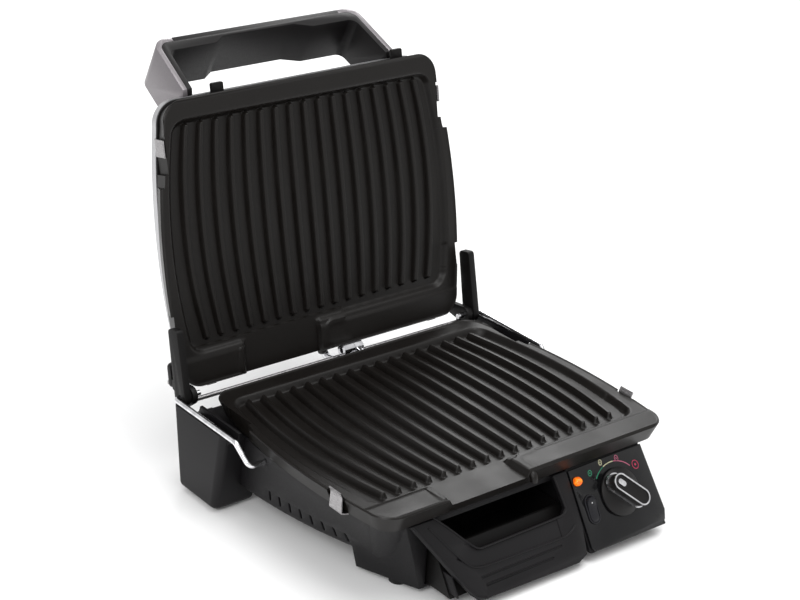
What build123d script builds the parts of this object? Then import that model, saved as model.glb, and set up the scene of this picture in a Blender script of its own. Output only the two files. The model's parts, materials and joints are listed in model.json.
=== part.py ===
from build123d import *
import os
from math import cos, radians, sin, tan

# Electric indoor grill with a hinged lid. Millimetres, +X to the right, +Y to the rear, +Z up.
# Everything is drawn about a point on the table under the middle of the lower plate's ribs.
# The lid is drawn closed over the base and then turned back to its resting angle.
# The finished part's origin is on the table, under the middle of the whole open grill.

# ---------------------------------------------------------------- driving dimensions
RIB_PITCH = 16.0
RIB_COUNT = 17
RIB_LENGTH = 198.0
RIB_BOW = 0.081  # share of its distance from the middle by which a rib's waist bows outward
RIB_BASE = 7.0
RIB_TOP = 4.6
RIB_HEIGHT = 5.5

PLATE_FRONT = -139.0
PLATE_REAR = 121.0
PLATE_HALF = (161.0, 167.0, 154.0)  # half-width at the front corner, the waist and the rear corner
PLATE_CORNER = 22.0
PLATE_DRAFT = 6.5
SKIRT_Z = 76.0
FLOOR_Z = 85.0
LAND_Z = 91.0
LIP_Z = 92.0
PLATE_WALL = 4.0
CLOSED_MID_Z = 93.0  # plane halfway between the two closed plates

HOUSING_TOP_Z = 75.5
HOUSING_BOTTOM_Z = 25.0
WALL = 3.0
WAIST_Y = -11.0

CONSOLE_Z = 6.0
CONSOLE_REAR = -67.0
CONSOLE_FRONT = -127.0
PANEL_TILT = 33.0  # degrees from upright
PANEL_TOP_Y = -131.0
PANEL_TOP_Z = 73.0
PANEL_THICK = 2.5
PANEL_LEFT = 47.0
TRAY_LEFT = -101.0
TRAY_RIGHT = 40.0

ORIGIN_Y = 64.0  # the finished part's origin, behind the middle of the lower plate
PIVOT_Y = 140.0
PIVOT_Z = 84.4
LID_OPEN = 102.07  # degrees from closed to the resting position
WIRE_R = 2.5
WIRE_X = 176.5
TOE_Y = 29.0
TOE_Z = 68.0
RUNNING = 0.06  # radial clearance of a shaft in its bore
TOWER_IN = 138.0
TOWER_OUT = 179.0
TOWER_TOP_Z = 81.8
ARM_IN = 165.0
ARM_OUT = 172.0

LID_EDGE_Z = 112.0
LID_TOP_Z = 156.0
LID_WALL = 1.6
LID_ROUND = 8.0
CROWN_R = 1400.0
HANDLE_WIDE = 45.0
HANDLE_REACH = 60.4

KNOB_X = 95.5
KNOB_S = 33.0
KNOB_R = 21.5
ROCKER_X = 60.5
ROCKER_S = 39.0
ROCKER_TILT = 7.0
LAMP_X = 53.2
LAMP_S = 12.0

CLIP_Y = -80.0
CLIP_WIDE = 18.0
SHEET = 1.2


# ---------------------------------------------------------------- drawing helpers
def barrel(half, front, rear, corner, z, inset=0.0):
    """Plan outline with bowed sides and rounded corners, as a face at height z."""
    near, waist, far = (value - inset for value in half)
    front, rear, corner = front + inset, rear - inset, max(corner - inset, 3.0)
    cut = corner * (1 - cos(radians(45)))
    edges = []
    for side in (1, -1):
        nose = (side * (near - corner), front)
        shoulder = (side * near, front + corner)
        hip = (side * far, rear - corner)
        tail = (side * (far - corner), rear)
        edges.append(ThreePointArc(nose, (side * (near - cut), front + cut), shoulder))
        edges.append(ThreePointArc(shoulder, (side * waist, WAIST_Y), hip))
        edges.append(ThreePointArc(hip, (side * (far - cut), rear - cut), tail))
    edges.append(Line((corner - near, front), (near - corner, front)))
    edges.append(Line((corner - far, rear), (far - corner, rear)))
    return Pos(0, 0, z) * make_face(edges)


def between(lower, upper):
    """Solid with straight walls between two outlines."""
    return loft([lower, upper], ruled=True)


def side_slab(points, x0, x1):
    """Side profile given as (y, z) points, drawn out from x0 to x1."""
    face = Plane.YZ * make_face(Polyline(*points, close=True))
    return Pos(x0, 0, 0) * extrude(face, x1 - x0)


def block(x, y, z):
    """Box between the (low, high) pairs x, y and z."""
    size = (x[1] - x[0], y[1] - y[0], z[1] - z[0])
    return Pos((x[0] + x[1]) / 2, (y[0] + y[1]) / 2, (z[0] + z[1]) / 2) * Box(*size)


def rod_x(x0, x1, y, z, radius):
    """Round bar along X."""
    return Pos((x0 + x1) / 2, y, z) * Rot(0, 90, 0) * Cylinder(radius, x1 - x0)


def rod_y(y0, y1, x, z, radius):
    """Round bar along Y."""
    return Pos(x, (y0 + y1) / 2, z) * Rot(90, 0, 0) * Cylinder(radius, y1 - y0)


def rod_z(z0, z1, x, y, radius):
    """Round bar along Z."""
    return Pos(x, y, (z0 + z1) / 2) * Cylinder(radius, z1 - z0)


def tube_along(points, radius, bend):
    """Round bar along straight runs joined by arcs of radius bend."""
    path = FilletPolyline(*points, radius=bend)
    start = path ^ 0
    return sweep(start * Circle(radius), path=path)


def both_sides(right):
    """A right-hand piece and its mirror image on the left."""
    return {"right": right, "left": mirror(right, about=Plane.YZ)}


def turned_over(shape):
    """The lower plate's place turned over into the closed lid."""
    return shape.rotate(Axis((0, 0, CLOSED_MID_Z), (1, 0, 0)), 180)


def raised(shape):
    """The base's piece mirrored up into the closed lid, its rear kept at the rear."""
    return mirror(shape, about=Plane.XY.offset(CLOSED_MID_Z))


def opened(shape):
    """A piece of the closed lid, turned back to the resting angle."""
    return shape.rotate(Axis((0, PIVOT_Y, PIVOT_Z), (1, 0, 0)), -LID_OPEN)


FACE = Plane(
    origin=(0, PANEL_TOP_Y, PANEL_TOP_Z),
    x_dir=(1, 0, 0),
    z_dir=(0, -cos(radians(PANEL_TILT)), sin(radians(PANEL_TILT))),
)


def on_face(points, low, high):
    """Plate on the sloping front: (x, s) points, s down the slope, between two heights."""
    outline = make_face(Polyline(*[(x, -s) for x, s in points], close=True))
    return FACE * Pos(0, 0, low) * extrude(outline, high - low)


def face_at(x, s, h=0.0):
    """Location on the sloping front with Z along its outward normal."""
    return FACE * Pos(x, -s, h)


def face_y(z, h=0.0):
    """Y of the sloping front, moved outward by h, at height z."""
    return PANEL_TOP_Y - (PANEL_TOP_Z - z) * tan(radians(PANEL_TILT)) - h / cos(radians(PANEL_TILT))


# ---------------------------------------------------------------- cooking plates
SPOUT_X = (-92.0, -6.0)
ARM_BAY_Y = 46.0
NOTCH_REACH = CLIP_WIDE / 2 + 2.0
RELEASE_ROOM = 12.0  # the rear notches run on forward, so that the upper plate slides past its clips


def plate_half_width(y):
    """Half-width of the plate's rim at y, on the arc through its three stations."""
    near, waist, far = PLATE_HALF
    y0, y1, y2 = PLATE_FRONT + PLATE_CORNER, WAIST_Y, PLATE_REAR - PLATE_CORNER
    rise = (waist - near) / (y1 - y0)
    bend = ((far - waist) / (y2 - y1) - rise) / (y2 - y0)
    return near + rise * (y - y0) + bend * (y - y0) * (y - y1)


def rib(index):
    """One rib, a tapered bar with round ends, bowed outward away from the middle."""
    x = RIB_PITCH * index
    waist = x * (1 + RIB_BOW)

    def outline(width):
        reach = (RIB_LENGTH - width) / 2
        if index == 0:
            return Rot(0, 0, 90) * SlotOverall(RIB_LENGTH, width)
        spine = ThreePointArc((x, -reach), (waist, 0), (x, reach))
        return SlotArc(spine, width)

    foot = Pos(0, 0, FLOOR_Z - 0.5) * outline(RIB_BASE)
    crest = Pos(0, 0, FLOOR_Z + RIB_HEIGHT) * outline(RIB_TOP)
    return between(foot, crest)


def cooking_plate():
    """Drip-tray-shaped plate: drafted skirt, sunk floor with ribs, raised lip, pouring spout."""
    outer = between(
        barrel(PLATE_HALF, PLATE_FRONT, PLATE_REAR, PLATE_CORNER, SKIRT_Z, PLATE_DRAFT),
        barrel(PLATE_HALF, PLATE_FRONT, PLATE_REAR, PLATE_CORNER, LIP_Z),
    )
    land = between(
        barrel(PLATE_HALF, PLATE_FRONT, PLATE_REAR, PLATE_CORNER, LAND_Z, 3.2),
        barrel(PLATE_HALF, PLATE_FRONT, PLATE_REAR, PLATE_CORNER, LIP_Z + 1, 1.8),
    )
    recess_half = (150.0, 157.0, 147.0)
    recess = between(
        barrel(recess_half, -110.0, 103.0, 16.0, FLOOR_Z, 4.0),
        barrel(recess_half, -110.0, 103.0, 16.0, LIP_Z, 0.0),
    )
    under = between(
        barrel((148.0, 153.0, 143.0), -127.0, 109.0, 14.0, SKIRT_Z - 1, 0.0),
        barrel((148.0, 153.0, 143.0), -127.0, 109.0, 14.0, FLOOR_Z - PLATE_WALL, 2.0),
    )
    under -= block((SPOUT_X[0] - 8, SPOUT_X[1] + 8), (-150, -113), (60, 100))
    plate = outer - land - recess - under
    for side in (1, -1):
        bay = [(158.0, ARM_BAY_Y), (180.0, ARM_BAY_Y), (180.0, 130.0), (151.0, 130.0), (156.5, ARM_BAY_Y + 6)]
        face = make_face(Polyline(*[(side * x, y) for x, y in bay], close=True))
        plate -= Pos(0, 0, SKIRT_Z - 1) * extrude(face, 30)
        for y, room in ((CLIP_Y, 0.0), (-CLIP_Y, RELEASE_ROOM)):
            across = sorted((side * notch_x(y), side * 190))
            plate -= block(across, (y - NOTCH_REACH - room, y + NOTCH_REACH), (SKIRT_Z - 1, LIP_Z + 1))
    ramp = [(-106, FLOOR_Z), (-150, FLOOR_Z - 9.3), (-150, LIP_Z + 5), (-106, LIP_Z + 5)]
    plate -= side_slab(ramp, *SPOUT_X)
    plate += spout_curbs()
    for index in range(-(RIB_COUNT // 2), RIB_COUNT // 2 + 1):
        plate += rib(index)
    return plate


def spout_curbs():
    """Low walls that guide the fat to the spout: a round-nosed one and an S-shaped one."""
    left = Pos(SPOUT_X[0] - 4.5, -125.0, LAND_Z - 5) * extrude(Rot(0, 0, 90) * SlotOverall(27.0, 8.0), 6.9)
    path = Line((SPOUT_X[1] + 4.0, -134.5), (SPOUT_X[1] + 4.0, -124.0))
    bend = ThreePointArc(path @ 1, (SPOUT_X[1] + 7.0, -116.5), (SPOUT_X[1] + 14.0, -113.5))
    tail = Line(bend @ 1, (SPOUT_X[1] + 30.0, -113.5))
    line = Wire([path, bend, tail])
    section = Plane(origin=path @ 0, z_dir=path % 0) * Rectangle(7.0, 6.9)
    right = Pos(0, 0, LAND_Z - 1.55) * sweep(section, path=line)
    return left + right


def notch_x(y):
    """Half-width at the bottom of the clip notch at y."""
    return plate_half_width(y) - 2.4 if y < ARM_BAY_Y else 152.6


# ---------------------------------------------------------------- base housing
HULL_TOP = ((153.0, 159.0, 151.0), -129.0, 119.0, 20.0)
HULL_BOTTOM = ((128.0, 147.0, 154.0), -105.0, 115.0, 20.0)
LEDGE_Z = 71.5
VENT_COUNT = 8
VENT_PITCH = 13.0
WINDOW = ((49.2, 131.0), (6.0, 66.0))


def hull(inset, bottom, top):
    """The boat-shaped part of the housing; the walls run on in line above and below it."""
    return between(barrel(*HULL_BOTTOM, bottom, inset), barrel(*HULL_TOP, top, inset))


def console_body():
    """Front plinth below the hull, with the wedge behind the control panel."""
    foot = [(-131, -69), (-109, CONSOLE_FRONT), (137, CONSOLE_FRONT), (131, -69)]
    head = [(-146, -64), (-130, CONSOLE_FRONT), (134.6, CONSOLE_FRONT), (146, -64)]
    plinth = between(
        Pos(0, 0, CONSOLE_Z) * make_face(Polyline(*foot, close=True)),
        Pos(0, 0, HOUSING_TOP_Z) * make_face(Polyline(*head, close=True)),
    )
    left, low, high = PANEL_LEFT - 1.0, CONSOLE_Z + 3.0, PANEL_TOP_Z
    low_y, high_y = face_y(low, -PANEL_THICK), face_y(high, -PANEL_THICK)
    toe = [(left, -120), (left, low_y), (138.5, low_y), (138.5, -120)]
    brow = [(left, -120), (left, high_y), (134.6, high_y), (134.6, -120)]
    wedge = between(
        Pos(0, 0, low) * make_face(Polyline(*toe, close=True)),
        Pos(0, 0, high) * make_face(Polyline(*brow, close=True)),
    )
    return plinth + wedge


def base_housing():
    """Hull and console in one moulding, open at the top and, under the hull, at the bottom."""
    shell = hull(0.0, HOUSING_BOTTOM_Z, HOUSING_TOP_Z) + console_body()
    shell -= block((-200, 200), (CONSOLE_REAR + WALL, 200), (0, HOUSING_BOTTOM_Z))
    # Round the boat: space above the ledge, then the space below it behind the console.
    shell -= hull(WALL, HOUSING_BOTTOM_Z, HOUSING_TOP_Z) & block((-200, 200), (-200, 200), (LEDGE_Z, 90))
    inside = hull(WALL, HOUSING_BOTTOM_Z - 0.1, HOUSING_TOP_Z)
    ledge = barrel((139.0, 145.0, 137.0), -113.0, 105.0, 14.0, 0)
    behind = block((-200, 200), (CONSOLE_REAR, 200), (0, LEDGE_Z + 1))
    room = block((-200, 200), (CONSOLE_REAR, 200), (0, LEDGE_Z - WALL)) + extrude(ledge, LEDGE_Z + 1)
    shell -= inside & room & behind
    # Pocket behind the control panel, open to the hull at its rear.
    low, high = CONSOLE_Z + WALL, LEDGE_Z - WALL
    profile = [
        (CONSOLE_REAR + 1, low),
        (face_y(low, -PANEL_THICK - WALL), low),
        (face_y(high, -PANEL_THICK - WALL), high),
        (CONSOLE_REAR + 1, high),
    ]
    shell -= side_slab(profile, PANEL_LEFT + 2, 131.0)
    (x0, x1), (s0, s1) = WINDOW
    shell -= on_face([(x0, s0), (x1, s0), (x1, s1), (x0, s1)], -20, 1)
    # Bay of the drip tray, open at the front.
    shell -= block((TRAY_LEFT - 2.5, TRAY_RIGHT + 3), (-190, CONSOLE_REAR - WALL), (CONSOLE_Z + WALL, 66))
    shell -= tower_envelope("both")
    cheek = block((TOWER_IN - WALL, TOWER_IN), (58, 117.5), (HOUSING_BOTTOM_Z, LEDGE_Z))
    cheek += block((TOWER_IN - WALL, 160), (58, 61), (HOUSING_BOTTOM_Z, LEDGE_Z))
    shell += (cheek + mirror(cheek, about=Plane.YZ)) & hull(0.0, HOUSING_BOTTOM_Z, HOUSING_TOP_Z)
    shell += toe_bosses()
    for side in (1, -1):
        shell -= rod_x(*sorted((side * 147.5, side * 170)), TOE_Y, TOE_Z, WIRE_R + RUNNING)
        for index in range(VENT_COUNT):
            y = 26.0 - VENT_PITCH * index
            shell -= block(sorted((side * 115, side * 170)), (y - 1.1, y + 1.1), (30.0, 39.5))
    shell -= rod_y(100, 130, 62.0, 46.0, 6.5)
    shell -= rod_y(110, 125, CONDUIT_X, CONDUIT_Z, CONDUIT_SLOT)
    shell -= block((CONDUIT_X - CONDUIT_SLOT, CONDUIT_X + CONDUIT_SLOT), (110, 125), (CONDUIT_Z, 76))
    return shell


def toe_bosses():
    """Bearing bosses for the hinge wires' toes, inside the housing's side walls."""
    bosses = rod_x(146.5, 156.0, TOE_Y, TOE_Z, 5.5)
    return bosses + mirror(bosses, about=Plane.YZ)


def tower_envelope(side, gap=0.0):
    """Outer shape of the hinge towers, without rounding, with a gap in front and inside."""
    front = 61 - gap
    profile = [(front, 90), (front, TOWER_TOP_Z), (73.5 - gap, 3), (131, 3), (141, TOWER_TOP_Z), (141, 90)]
    right = side_slab(profile, TOWER_IN - gap, TOWER_OUT)
    return right + mirror(right, about=Plane.YZ) if side == "both" else right


def hinge_tower():
    """Right-hand rear leg: hollow, rounded, with a channel in its top for the hinge arm."""
    profile = [(61, TOWER_TOP_Z), (73.5, 3), (131, 3), (141, TOWER_TOP_Z)]
    tower = side_slab(profile, TOWER_IN, TOWER_OUT)
    uprights = tower.edges().filter_by(lambda e: abs(e.tangent_at(0).Z) > 0.9).group_by(Axis.X)[-1]
    tower = fillet(uprights, 7.0)
    tower = fillet(tower.edges().group_by(Axis.Z)[0], 6.0)
    tower -= block((TOWER_IN - 1, 159.5), (50, 150), (74.6, 100))
    tower -= block((162.5, 174.0), (50, 150), (74.0, 100))
    tower -= rod_x(TOWER_IN - 1, 174.0, PIVOT_Y, PIVOT_Z, 18.0)
    core = [(76, 68), (82, 2), (123, 2), (124, 62)]
    tower -= side_slab(core, TOWER_IN + 5, TOWER_OUT - 5)
    return tower


def base_bottom_cover():
    """Flat cover that closes the hull from below, with louvres and screw holes."""
    outline = barrel(*HULL_BOTTOM, 0, WALL + 1.2)
    cover = Pos(0, 0, HOUSING_BOTTOM_Z) * extrude(outline, WALL)
    cover &= block((-200, 200), (CONSOLE_REAR + 0.2, 200), (0, 60))
    cover &= block((WALL + 0.3 - TOWER_IN, TOWER_IN - WALL - 0.3), (CONSOLE_REAR, 200), (0, 60)) + block(
        (-200, 200), (CONSOLE_REAR, 57.5), (0, 60)
    )
    for x in range(-60, 61, 20):
        cover -= Pos(x, 60, 0) * extrude(Rot(0, 0, 90) * SlotOverall(50, 4.0), 60)
    for x, y in COVER_SCREWS:
        cover -= rod_z(0, 60, x, y, 1.6)
    return cover


COVER_SCREWS = [(-110, -50), (110, -50), (-110, 98), (110, 98), (0, 98), (0, -50)]


def base_screws():
    """Pan-head screws that hold the bottom cover."""
    screws = []
    for x, y in COVER_SCREWS:
        head = rod_z(HOUSING_BOTTOM_Z - 1.8, HOUSING_BOTTOM_Z, x, y, 3.2)
        shank = rod_z(HOUSING_BOTTOM_Z - 0.5, HOUSING_BOTTOM_Z + 8, x, y, 1.6)
        screws.append(head + shank)
    return Compound(screws)


def rubber_feet():
    """Two plugs that close the towers from below and two round feet under the console."""
    plug = block((TOWER_IN + 7, TOWER_OUT - 7), (84.5, 121.5), (0, 3)) + block(
        (TOWER_IN + 5.3, TOWER_OUT - 5.3), (82.6, 122.6), (3.0, 8.0)
    )
    feet = [plug, mirror(plug, about=Plane.YZ)]
    for x in (-108.0, 118.0):
        feet.append(rod_z(0, CONSOLE_Z, x, -98.0, 8.0))
    return Compound(feet)


# ---------------------------------------------------------------- control panel
PANEL = [(PANEL_LEFT, 1), (134.6, 0), (140, 62), (137, 70), (130, 74), (51, 74), (47.7, 70)]
ROCKER_LONG = 22.0
ROCKER_WIDE = 9.5
ROCKER_SINK = 1.5  # the rocker's axis below the panel's face
TRUNNION_R = 1.4


def upright_slot(margin):
    """Pill outline up and down the panel, larger than the rocker by the margin all round."""
    return Rot(0, 0, 90) * SlotOverall(ROCKER_LONG + 2 * margin, ROCKER_WIDE + 2 * margin)


def control_panel():
    """Glossy plate on the sloping front, with holes for the knob, rocker and lamp."""
    panel = on_face(PANEL, -PANEL_THICK, 0)
    panel -= face_at(KNOB_X, KNOB_S) * Cylinder(5.2, 20)
    panel -= face_at(LAMP_X, LAMP_S) * Cylinder(4.0, 20)
    panel -= face_at(ROCKER_X, ROCKER_S) * extrude(upright_slot(1.45), 10, both=True)
    return panel


def indicator_lens():
    """Amber dome in the panel."""
    dome = Pos(0, 0, 1.2) * Sphere(3.9) & Pos(0, 0, 5) * Box(12, 12, 10)
    stem = Pos(0, 0, -5.0) * Cylinder(3.9, 12.4)
    socket = Pos(0, 0, -9.0) * Cylinder(2.8, 10.0) + Pos(0, 0, -4.0) * Sphere(2.8)
    return face_at(LAMP_X, LAMP_S) * (dome + stem - socket)


def indicator_lamp():
    """Neon lamp in the lens's tail, on two legs."""
    lamp = Pos(0, 0, -9.0) * Cylinder(2.6, 9.0) + Pos(0, 0, -4.5) * Sphere(2.6)
    for x in (-1.2, 1.2):
        lamp += Pos(x, 0, -16.0) * Cylinder(0.4, 8.0)
    return face_at(LAMP_X, LAMP_S) * lamp


def thermostat_body():
    """Thermostat behind the panel, with its threaded neck."""
    case = Pos(0, 0, -17.0) * Box(38, 34, 18)
    case = fillet(case.edges().filter_by(Axis.Z), 4.0)
    neck = Pos(0, 0, -5.0) * Cylinder(5.0, 8.0)
    bore = Pos(0, 0, -10.0) * Cylinder(3.0 + RUNNING, 24.0)
    return face_at(KNOB_X, KNOB_S) * (case + neck - bore)


def thermostat_shaft():
    """Shaft from the thermostat into the knob, with a flat at its outer end."""
    shaft = Pos(0, 0, -6.0) * Cylinder(3.0, 24.0)
    shaft -= Pos(0, 3.6, 4.5) * Box(10, 3, 7)
    return face_at(KNOB_X, KNOB_S) * shaft


KNOB_TURN = 135.0  # direction of the pointer, seen from the front


def knob_frame(h):
    """Location on the knob's axis with X along the bar, towards the pointer."""
    return face_at(KNOB_X, KNOB_S, h) * Rot(0, 0, KNOB_TURN)


def control_knob():
    """Low domed skirt with a raised bar across it."""
    skirt = Polyline((0, 0.8), (KNOB_R, 0.8), (KNOB_R, 2.6))
    dome = ThreePointArc((KNOB_R, 2.6), (KNOB_R - 6.5, 6.0), (0, 7.6))
    profile = make_face([*skirt.edges(), dome, Line((0, 7.6), (0, 0.8))])
    body = revolve(Plane.XZ * profile, Axis.Z)
    bar = Pos(0, 0, 2) * extrude(SlotOverall(42.0, 15.0), 15.0)
    body += bar
    body -= Pos(0, 0, 1.0) * Cylinder(3.0, 14.0)
    body -= Pos(0, 0, 16.4) * extrude(SlotOverall(38.6, 11.6), 2)
    return knob_frame(0) * body


def knob_trim():
    """Bright bands round the bar, at its foot and on its crest, and the pointer."""
    foot = Pos(0, 0, 7.8) * extrude(SlotOverall(44.6, 17.6) - SlotOverall(42.0, 15.0), 1.8)
    crest = Pos(0, 0, 17.0) * extrude(SlotOverall(42.0, 15.0) - SlotOverall(39.4, 12.4), 1.0)
    pointer = Pos(12.0, 0, 16.4) * extrude(SlotOverall(9.0, 4.6), 1.2)
    return knob_frame(0) * Compound([foot, crest, pointer])


def switch_frame():
    """Bezel and box of the rocker switch, with the two holes that carry the rocker."""
    frame = extrude(upright_slot(1.9), 0.8) + Pos(0, 0, -16) * extrude(upright_slot(1.25), 16)
    frame -= Pos(0, 0, -11.0) * extrude(upright_slot(0.6), 14)
    frame -= rod_x(-10, 10, 0, -ROCKER_SINK, TRUNNION_R + RUNNING)
    for x in (-3.5, 3.5):
        frame += Pos(x, 0, -19.0) * Box(0.8, 5.0, 7.0)
    return face_at(ROCKER_X, ROCKER_S) * frame


def rocker_switch():
    """Pill-shaped rocker with a dished top, on two trunnions, tipped to its off side."""
    pill = Pos(0, 0, -4.5) * extrude(upright_slot(0.0), 8.0)
    pill -= rod_x(-20, 20, 0, 44.7, 42.0)
    pill -= Pos(0, 0, -4.5) * extrude(upright_slot(-1.8), 2.5)
    reach = ROCKER_WIDE / 2 + 1.15
    pill += rod_x(-reach, reach, 0, 0, TRUNNION_R)
    return face_at(ROCKER_X, ROCKER_S, -ROCKER_SINK) * Rot(ROCKER_TILT, 0, 0) * pill


# ---------------------------------------------------------------- drip tray
FASCIA = [(-126, -0.5), (-114, 21), (-95, 56), (-87, 69), (-74, 76), (30, 77.5), (41, 73), (45, 49), (45, 0)]
SCOOP = [(-104, -5), (-100, -0.5), (-74, 29), (-66, 35), (27, 34), (32, 29), (29, -5)]
BIN_BACK = -13.2  # the bin's front wall behind the face of the fascia


def tray_fascia():
    """Sloping front of the tray, cut out at the top for the fat and the fingers."""
    fascia = on_face(FASCIA, -4.0, 0.0)
    fascia -= on_face(SCOOP, -10, 5)
    crease = [(-92, 37), (-78, 47), (-66, 49.5), (20, 52), (20, 34), (-66, 34), (-80, 27)]
    fascia -= on_face(crease, -1.2, 5)
    for s, left, right in ((57.5, -73, 17), (64.5, -71, 5)):
        fascia -= on_face([(left, s), (right, s), (right, s + 1.6), (left, s + 1.6)], -0.8, 5)
    web = [(face_y(z, h), z) for z, h in ((30, -4.0), (14, -4.0), (14, BIN_BACK), (30, BIN_BACK))]
    for x in (-99.0, 38.0):
        fascia += side_slab(web, x - 1, x + 1)
    return fascia


def tray_bin():
    """Open box that catches the fat, with a sloping front wall."""
    floor, rim, rear = CONSOLE_Z + WALL + 0.6, 44.0, CONSOLE_REAR - WALL - 1.0

    def box(inset, top):
        low, back = floor + inset, BIN_BACK - inset
        profile = [(rear - inset, low), (face_y(low, back), low), (face_y(top, back), top), (rear - inset, top)]
        return side_slab(profile, TRAY_LEFT + inset, TRAY_RIGHT - inset)

    return box(0.0, rim) - box(2.0, rim + 1)


# ---------------------------------------------------------------- heating
def heater_tray():
    """Reflector sheet below the heating element, in the base's place."""
    half, front, rear, corner = (140.0, 146.0, 138.0), -116.0, 108.0, 14.0
    sheet = Pos(0, 0, LEDGE_Z + 0.1) * extrude(barrel(half, front, rear, corner, 0), 1.0)
    for x in (-95, 95):
        bead = Rot(0, 0, 90) * SlotOverall(170, 8) - Rot(0, 0, 90) * SlotOverall(166, 4)
        sheet += Pos(x, 0, LEDGE_Z + 0.6) * extrude(bead, 1.4)
    for x in (-18, 18):
        sheet -= rod_z(60, 90, x, 99.5, 5.2)
    return sheet - tower_envelope("both", 0.4)


def heating_element():
    """Tubular element bent into one long loop, its two ends turned down."""
    z, reach = 77.4, 20.0
    points = [
        (-18, 100, z - 20),
        (-18, 100, z),
        (-18, -30, z),
        (-70, -30, z),
        (-70, 85, z),
        (-130, 85, z),
        (-130, -95, z),
        (130, -95, z),
        (130, 85, z),
        (70, 85, z),
        (70, -30, z),
        (18, -30, z),
        (18, 100, z),
        (18, 100, z - 20),
    ]
    bends = [9.0] + [reach] * 10 + [9.0]
    path = FilletPolyline(*points, radius=bends)
    return sweep((path ^ 0) * Circle(3.2), path=path)


def terminal_block():
    """Ceramic block with two rows of terminals."""
    base = block((30, 78), (82, 104), (28.0, 38.0))
    for x in (36, 46, 56, 66):
        base += block((x, x + 6), (85, 101), (38.0, 44.0))
        base -= rod_z(40, 50, x + 3, 93, 1.8)
    return base


def thermal_fuse():
    """Fuse in a sleeve, clamped under the heater tray."""
    sleeve = rod_x(-60, -34, 40, LEDGE_Z - 4.0, 3.0)
    strap = block((-51, -43), (34, 46), (LEDGE_Z - 1.0, LEDGE_Z)) - rod_x(-60, -34, 40, LEDGE_Z - 4.0, 3.0)
    return sleeve + strap


def cord_inlet_gland():
    """Bush in the rear wall where the supply lead would enter."""
    body = rod_y(108.5, 119.0, 62.0, 46.0, 6.3) + rod_y(117.8, 121.0, 62.0, 46.0, 9.0)
    body += rod_y(107.0, 110.6, 62.0, 46.0, 8.5)
    return body - rod_y(100, 130, 62.0, 46.0, 3.9)


# ---------------------------------------------------------------- hinge
def hinge_wire():
    """Right-hand wire: rear hinge pin, long run on the tower, bend down, toe in the housing."""
    points = [
        (151.0, PIVOT_Y, PIVOT_Z),
        (WIRE_X, PIVOT_Y, PIVOT_Z),
        (WIRE_X, 46.0, PIVOT_Z),
        (173.5, TOE_Y, TOE_Z),
        (148.0, TOE_Y, TOE_Z),
    ]
    return tube_along(points, WIRE_R, [4.0, 5.5, 5.5])


def hinge_arm():
    """Right-hand arm: lies in the tower's channel when the lid is closed."""
    upper, lower = [Pos(80.5, PIVOT_Z + rise) * Circle(3.5) for rise in (4.6, -3.2)]
    root = Pos(PIVOT_Y, PIVOT_Z) * Circle(8.5)
    face = make_hull([*upper.edges(), *lower.edges(), *root.edges()])
    arm = Pos(ARM_IN, 0, 0) * extrude(Plane.YZ * face, ARM_OUT - ARM_IN)
    arm += rod_x(163.0, ARM_IN + 1, PIVOT_Y, PIVOT_Z, 7.0)
    return arm - rod_x(160, 175, PIVOT_Y, PIVOT_Z, WIRE_R + RUNNING)


TIE_Y = 147.7
TIE_Z = 91.2


def lid_bracket():
    """Right-hand bracket: eye on the hinge pin, seat of the tie rod, leg up to the lid's frame."""
    eye = Pos(PIVOT_Y, PIVOT_Z) * Circle(8.5)
    seat = Pos(TIE_Y, TIE_Z) * Circle(4.6)
    leg = Pos(134.5, 105.4) * Rectangle(9.0, 10.0)
    lobe = make_hull([*eye.edges(), *seat.edges()])
    shank = make_hull([*eye.edges(), *leg.edges()])
    bracket = Pos(157.8, 0, 0) * extrude(Plane.YZ * (lobe + shank), 5.2)
    bracket -= rod_x(150, 170, PIVOT_Y, PIVOT_Z, WIRE_R + RUNNING)
    bracket -= rod_z(103.5, 120, SCREW_X, SCREW_Y, 1.3)
    return bracket - rod_x(150, 170, TIE_Y, TIE_Z, 2.25)


def tie_rod():
    """Rod between the two brackets."""
    return rod_x(-162.5, 162.5, TIE_Y, TIE_Z, 2.25)


# ---------------------------------------------------------------- lid
LID_FOOT = ((150.0, 158.0, 151.0), -119.0, 135.0, 22.0)
LID_SHOULDER = ((149.2, 157.2, 150.2), -118.2, 134.2, 21.5)
LID_SHOULDER_Z = 120.0
LID_HEAD = ((114.0, 120.0, 114.0), -84.0, 106.0, 26.0)
SCREW_X = 160.4
SCREW_Y = 134.5
EAR = ((140.0, 163.0), (116.0, 139.0), (110.4, 116.0))


def lid_solid(inset=0.0):
    """Outer form of the lid, a low rim below a sloping dome, or the same drawn in by inset."""
    foot = barrel(*LID_FOOT, LID_EDGE_Z, inset)
    shoulder = barrel(*LID_SHOULDER, LID_SHOULDER_Z, inset)
    head = barrel(*LID_HEAD, LID_TOP_Z + 2, inset)
    crown = Pos(0, 10, LID_TOP_Z - inset - CROWN_R) * Rot(90, 0, 0) * Cylinder(CROWN_R, 400)
    return loft([foot, shoulder, head], ruled=True) & crown


def lid_shell():
    """Domed cover with sloping sides, open towards the plate."""
    outer = lid_solid()
    outer = fillet(outer.faces().sort_by(Axis.Z)[-1].edges(), LID_ROUND)
    shell = outer - lid_solid(LID_WALL)
    for side in (1, -1):
        (x0, x1), (y0, y1), (z0, z1) = EAR
        shell -= block(sorted((side * (x0 - 0.2), side * 200)), (y0 - 0.2, 200), (z0 - 1, z1 + 0.2))
    return shell


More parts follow.
